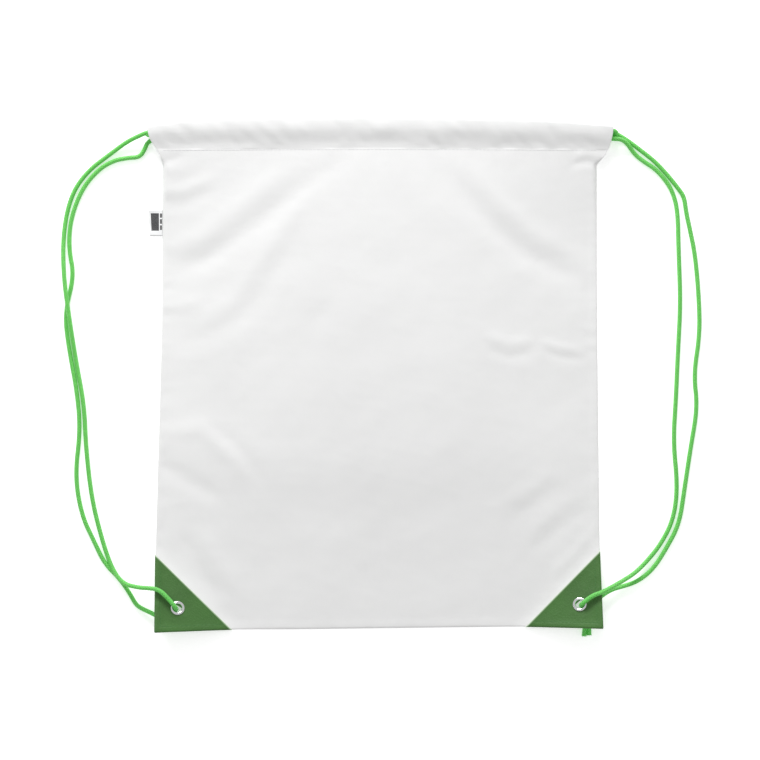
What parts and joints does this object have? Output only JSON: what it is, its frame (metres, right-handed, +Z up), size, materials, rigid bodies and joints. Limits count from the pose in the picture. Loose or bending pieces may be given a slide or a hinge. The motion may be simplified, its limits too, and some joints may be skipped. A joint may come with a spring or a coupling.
{
  "type": "drawstring backpack",
  "caption": "Flat drawstring backpack: cloth bag gathered by braided cord loops in a hem tunnel, reinforced lower corners with metal eyelets, small side label.",
  "frame": {"origin": "on the floor, in the middle of the bag's outline without its cords", "axes": "+Z up out of the front of the bag, +Y towards the mouth, +X to the right seen from above"},
  "size_m": [0.5184, 0.4144, 0.0194],
  "materials": {
    "body_cloth": "plain woven polyester, matt, white",
    "patch_cloth": "coated cloth with a fine grain, satin, dark green",
    "eyelet_metal": "polished nickel plate",
    "cord": "braided polyester, bright green",
    "label_satin": "white satin ribbon",
    "body_thread": "polyester sewing thread, white",
    "patch_thread": "polyester sewing thread, dark green"
  },
  "bodies": {
    "bag": {"front_panel": "body_cloth", "back_panel": "body_cloth", "left_front_patch": "patch_cloth", "left_back_patch": "patch_cloth", "right_front_patch": "patch_cloth", "right_back_patch": "patch_cloth", "left_eyelet": "eyelet_metal", "left_eyelet_washer": "eyelet_metal", "right_eyelet": "eyelet_metal", "right_eyelet_washer": "eyelet_metal", "front_hem_thread": "body_thread", "back_hem_thread": "body_thread", "bottom_seam_thread": "body_thread", "left_seam_thread": "body_thread", "left_patch_thread": "patch_thread", "right_seam_thread": "body_thread", "right_patch_thread": "patch_thread", "left_cord_tunnel": "cord", "left_cord_eyelet": "cord", "left_cord_corner": "cord", "right_cord_tunnel": "cord", "right_cord_eyelet": "cord", "right_cord_corner": "cord", "left_knot": "cord", "right_knot": "cord"},
    "left_strap": {"left_cord_front": "cord", "left_cord_back": "cord"},
    "right_strap": {"right_cord_front": "cord", "right_cord_back": "cord"},
    "label": {"side_label": "label_satin"}
  },
  "joints": [
    {"name": "left_strap_swing", "type": "hinge", "parent": "bag", "child": "left_strap", "pos_m": [-0.1905, 0, 0.014], "axis": [0, 1, 0], "range_deg": [0, 150]},
    {"name": "right_strap_swing", "type": "hinge", "parent": "bag", "child": "right_strap", "pos_m": [0.1905, 0, 0.014], "axis": [0, -1, 0], "range_deg": [0, 150]},
    {"name": "side_label_flip", "type": "hinge", "parent": "bag", "child": "label", "pos_m": [-0.1775, 0.125, 0.00075], "axis": [0, 1, 0], "range_deg": [0, 150]}
  ]
}
